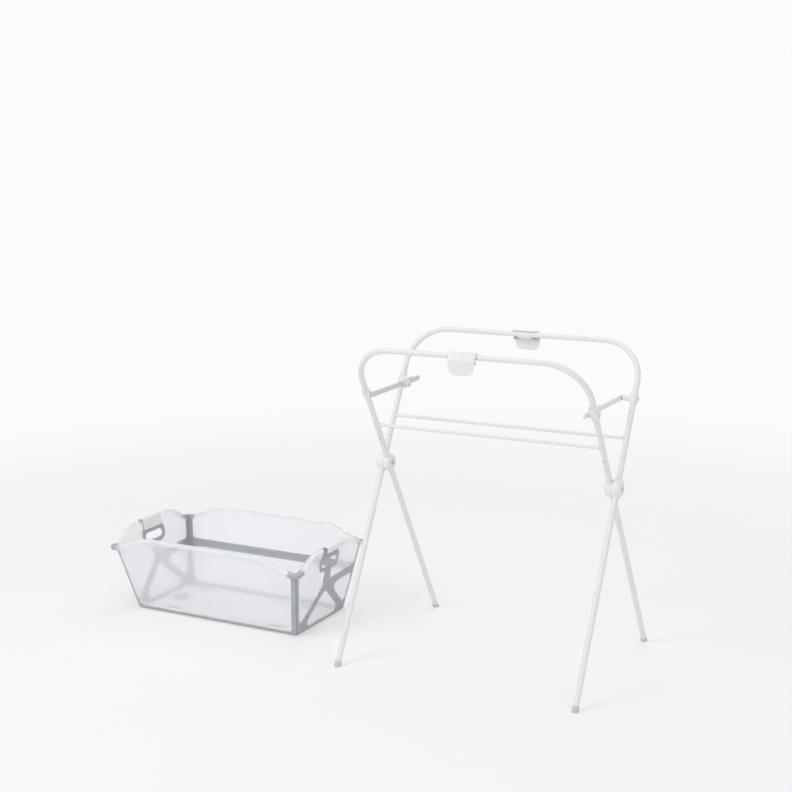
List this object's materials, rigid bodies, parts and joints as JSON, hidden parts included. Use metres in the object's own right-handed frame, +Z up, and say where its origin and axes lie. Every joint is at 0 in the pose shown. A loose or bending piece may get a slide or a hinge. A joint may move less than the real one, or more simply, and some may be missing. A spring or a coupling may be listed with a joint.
{
  "type": "folding baby bath with stand",
  "caption": "Folding baby bath with soft-edged frosted walls, standing beside its cross-legged folding tube stand.",
  "frame": {"origin": "centre of the set's bounding box, on the floor", "axes": "+X along the bath's length, from the bath to the stand, +Y to the rear, +Z up"},
  "size_m": [1.5858, 0.5887, 0.8945],
  "materials": {
    "white_coat": "white powder coat",
    "warm_plastic": "fine satin",
    "grey_plastic": "matt",
    "steel": "bright zinc",
    "frosted": "frosted, lets light through",
    "soft_grey": "soft matt"
  },
  "bodies": {
    "front_hoop_frame": {"front_hoop": "white_coat", "front_crossbar": "white_coat", "front_legs": "white_coat", "front_feet": "grey_plastic", "pivot_sleeves": "warm_plastic", "pivot_bolts": "steel", "front_stay_clamps": "warm_plastic", "front_fasteners": "steel", "front_latch_saddle": "warm_plastic"},
    "rear_hoop_frame": {"rear_hoop": "white_coat", "rear_crossbar": "white_coat", "rear_legs": "white_coat", "rear_feet": "grey_plastic", "pivot_housings": "warm_plastic", "rear_stay_clamps": "warm_plastic", "rear_fasteners": "steel", "rear_latch_saddle": "warm_plastic"},
    "left_bar": {"left_stay_bar": "grey_plastic"},
    "left_guide": {"left_stay_guide": "warm_plastic"},
    "left_knob": {"left_clamp_knob": "grey_plastic"},
    "right_bar": {"right_stay_bar": "grey_plastic"},
    "right_guide": {"right_stay_guide": "warm_plastic"},
    "right_knob": {"right_clamp_knob": "grey_plastic"},
    "front_latch": {"front_latch_cover": "warm_plastic"},
    "front_left_snap": {"front_left_button": "steel"},
    "front_right_snap": {"front_right_button": "steel"},
    "rear_latch": {"rear_latch_cover": "warm_plastic"},
    "rear_left_snap": {"rear_left_button": "steel"},
    "rear_right_snap": {"rear_right_button": "steel"},
    "bath_base": {"base_panel": "frosted", "base_border": "soft_grey", "base_pads": "soft_grey"},
    "plug": {"drain_plug": "soft_grey"},
    "front_panel": {"front_wall": "frosted", "front_border": "soft_grey"},
    "rear_lower_panel": {"rear_lower_wall": "frosted", "rear_lower_border": "soft_grey"},
    "rear_upper_panel": {"rear_upper_wall": "frosted", "rear_upper_border": "soft_grey"},
    "right_front_end": {"right_front_facet": "frosted", "right_front_border": "soft_grey"},
    "right_floor_end": {"right_floor_facet": "frosted", "right_floor_border": "soft_grey"},
    "right_rear_end": {"right_rear_facet": "frosted", "right_rear_border": "soft_grey"},
    "right_top_end": {"right_top_facet": "frosted", "right_top_border": "soft_grey", "right_grip": "soft_grey"},
    "right_clip": {"right_lock_clip": "warm_plastic"},
    "left_front_end": {"left_front_facet": "frosted", "left_front_border": "soft_grey"},
    "left_floor_end": {"left_floor_facet": "frosted", "left_floor_border": "soft_grey"},
    "left_rear_end": {"left_rear_facet": "frosted", "left_rear_border": "soft_grey"},
    "left_top_end": {"left_top_facet": "frosted", "left_top_border": "soft_grey", "left_grip": "soft_grey"},
    "left_clip": {"left_lock_clip": "warm_plastic"}
  },
  "joints": [
    {"name": "stand_fold", "type": "hinge", "parent": "front_hoop_frame", "child": "rear_hoop_frame", "pos_m": [0.4249, 0, 0.521], "axis": [1, 0, 0], "range_deg": [0, 46]},
    {"name": "left_bar_pin", "type": "hinge", "parent": "front_hoop_frame", "child": "left_bar", "pos_m": [0.4249, -0.11962, 0.74169], "axis": [1, 0, 0], "range_deg": [0, 23]},
    {"name": "left_guide_pin", "type": "hinge", "parent": "rear_hoop_frame", "child": "left_guide", "pos_m": [0.4249, 0.11962, 0.74169], "axis": [1, 0, 0], "range_deg": [-23, 0]},
    {"name": "left_knob_turn", "type": "hinge", "parent": "left_guide", "child": "left_knob", "pos_m": [0.4249, 0.05762, 0.74169], "axis": [1, 0, 0], "range_deg": [0, 180]},
    {"name": "right_bar_pin", "type": "hinge", "parent": "rear_hoop_frame", "child": "right_bar", "pos_m": [0.4249, 0.11962, 0.74169], "axis": [1, 0, 0], "range_deg": [-23, 0]},
    {"name": "right_guide_pin", "type": "hinge", "parent": "front_hoop_frame", "child": "right_guide", "pos_m": [0.4249, -0.11962, 0.74169], "axis": [1, 0, 0], "range_deg": [0, 23]},
    {"name": "right_knob_turn", "type": "hinge", "parent": "right_guide", "child": "right_knob", "pos_m": [0.4249, -0.05762, 0.74169], "axis": [1, 0, 0], "range_deg": [0, 180]},
    {"name": "front_latch_lift", "type": "hinge", "parent": "front_hoop_frame", "child": "front_latch", "pos_m": [0.4249, -0.20768, 0.868], "axis": [1, 0, 0], "range_deg": [0, 40], "stiffness_Nm_per_rad": 0.05, "springref_deg": -17.19},
    {"name": "front_left_snap_press", "type": "slide", "parent": "front_hoop_frame", "child": "front_left_snap", "axis": [0, 0.8792, 0.4765], "range_m": [0, 0.0035], "stiffness_N_per_m": 400, "springref_m": -0.002},
    {"name": "front_right_snap_press", "type": "slide", "parent": "front_hoop_frame", "child": "front_right_snap", "axis": [0, 0.8792, 0.4765], "range_m": [0, 0.0035], "stiffness_N_per_m": 400, "springref_m": -0.002},
    {"name": "rear_latch_lift", "type": "hinge", "parent": "rear_hoop_frame", "child": "rear_latch", "pos_m": [0.4249, 0.20768, 0.868], "axis": [-1, 0, 0], "range_deg": [0, 40], "stiffness_Nm_per_rad": 0.05, "springref_deg": -17.19},
    {"name": "rear_left_snap_press", "type": "slide", "parent": "rear_hoop_frame", "child": "rear_left_snap", "axis": [0, 0.8792, -0.4765], "range_m": [0, 0.0035], "stiffness_N_per_m": 400, "springref_m": -0.002},
    {"name": "rear_right_snap_press", "type": "slide", "parent": "rear_hoop_frame", "child": "rear_right_snap", "axis": [0, 0.8792, -0.4765], "range_m": [0, 0.0035], "stiffness_N_per_m": 400, "springref_m": -0.002},
    {"name": "bath_lift", "type": "slide", "parent": "front_hoop_frame", "child": "bath_base", "axis": [0, 0, 1], "range_m": [0, 0.3]},
    {"name": "plug_pull", "type": "slide", "parent": "bath_base", "child": "plug", "axis": [0, 0, 1], "range_m": [0, 0.01]},
    {"name": "front_fold", "type": "hinge", "parent": "bath_base", "child": "front_panel", "pos_m": [-0.443, -0.131, 0.005], "axis": [-1, 0, 0], "range_deg": [0, 57.1]},
    {"name": "rear_lower_fold", "type": "hinge", "parent": "bath_base", "child": "rear_lower_panel", "pos_m": [-0.443, 0.131, 0.005], "axis": [1, 0, 0], "range_deg": [0, 74.35]},
    {"name": "rear_upper_fold", "type": "hinge", "parent": "rear_lower_panel", "child": "rear_upper_panel", "pos_m": [-0.443, 0.16682, 0.13104], "axis": [-1, 0, 0], "range_deg": [0, 172]},
    {"name": "right_front_end_fold", "type": "hinge", "parent": "front_panel", "child": "right_front_end", "pos_m": [-0.157, -0.131, 0.005], "axis": [0.1741, -0.2474, 0.9531], "range_deg": [0, 83.6], "deforming": ["right_front_border"]},
    {"name": "right_floor_end_fold", "type": "hinge", "parent": "bath_base", "child": "right_floor_end", "pos_m": [-0.157, -0.131, 0.005], "axis": [0, -1, 0], "range_deg": [0, 79.7], "deforming": ["right_floor_border"]},
    {"name": "right_rear_end_fold", "type": "hinge", "parent": "rear_lower_panel", "child": "right_rear_end", "pos_m": [-0.157, 0.131, 0.005], "axis": [-0.1741, -0.2474, -0.9531], "range_deg": [0, 90.6], "deforming": ["right_rear_border"]},
    {"name": "right_top_end_fold", "type": "hinge", "parent": "rear_upper_panel", "child": "right_top_end", "pos_m": [-0.13384, 0.16392, 0.1318], "axis": [-0.1741, -0.2474, -0.9531], "range_deg": [0, 91.3], "deforming": ["right_top_border", "right_grip"]},
    {"name": "right_clip_lift", "type": "slide", "parent": "right_top_end", "child": "right_clip", "axis": [0.1797, 0, 0.9837], "range_m": [0, 0.036]},
    {"name": "left_front_end_fold", "type": "hinge", "parent": "front_panel", "child": "left_front_end", "pos_m": [-0.729, -0.131, 0.005], "axis": [0.1741, 0.2474, -0.9531], "range_deg": [0, 83.6], "deforming": ["left_front_border"]},
    {"name": "left_floor_end_fold", "type": "hinge", "parent": "bath_base", "child": "left_floor_end", "pos_m": [-0.729, -0.131, 0.005], "axis": [0, 1, 0], "range_deg": [0, 79.7], "deforming": ["left_floor_border"]},
    {"name": "left_rear_end_fold", "type": "hinge", "parent": "rear_lower_panel", "child": "left_rear_end", "pos_m": [-0.729, 0.131, 0.005], "axis": [-0.1741, 0.2474, 0.9531], "range_deg": [0, 90.6], "deforming": ["left_rear_border"]},
    {"name": "left_top_end_fold", "type": "hinge", "parent": "rear_upper_panel", "child": "left_top_end", "pos_m": [-0.75216, 0.16392, 0.1318], "axis": [-0.1741, 0.2474, 0.9531], "range_deg": [0, 91.3], "deforming": ["left_top_border", "left_grip"]},
    {"name": "left_clip_lift", "type": "slide", "parent": "left_top_end", "child": "left_clip", "axis": [-0.1797, 0, 0.9837], "range_m": [0, 0.036]}
  ],
  "couplings": [
    {"joint": "left_bar_pin", "follows": "stand_fold", "ratio": 0.5},
    {"joint": "left_guide_pin", "follows": "stand_fold", "ratio": -0.5},
    {"joint": "right_bar_pin", "follows": "stand_fold", "ratio": -0.5},
    {"joint": "right_guide_pin", "follows": "stand_fold", "ratio": 0.5},
    {"joint": "rear_lower_fold", "follows": "front_fold", "ratio": 1.3003},
    {"joint": "rear_upper_fold", "follows": "front_fold", "ratio": 3.0105},
    {"joint": "right_front_end_fold", "follows": "front_fold", "ratio": 1.4623},
    {"joint": "right_floor_end_fold", "follows": "front_fold", "ratio": 1.394},
    {"joint": "right_rear_end_fold", "follows": "front_fold", "ratio": 1.5849},
    {"joint": "right_top_end_fold", "follows": "front_fold", "ratio": 1.5972},
    {"joint": "left_front_end_fold", "follows": "front_fold", "ratio": 1.4623},
    {"joint": "left_floor_end_fold", "follows": "front_fold", "ratio": 1.394},
    {"joint": "left_rear_end_fold", "follows": "front_fold", "ratio": 1.5849},
    {"joint": "left_top_end_fold", "follows": "front_fold", "ratio": 1.5972}
  ]
}
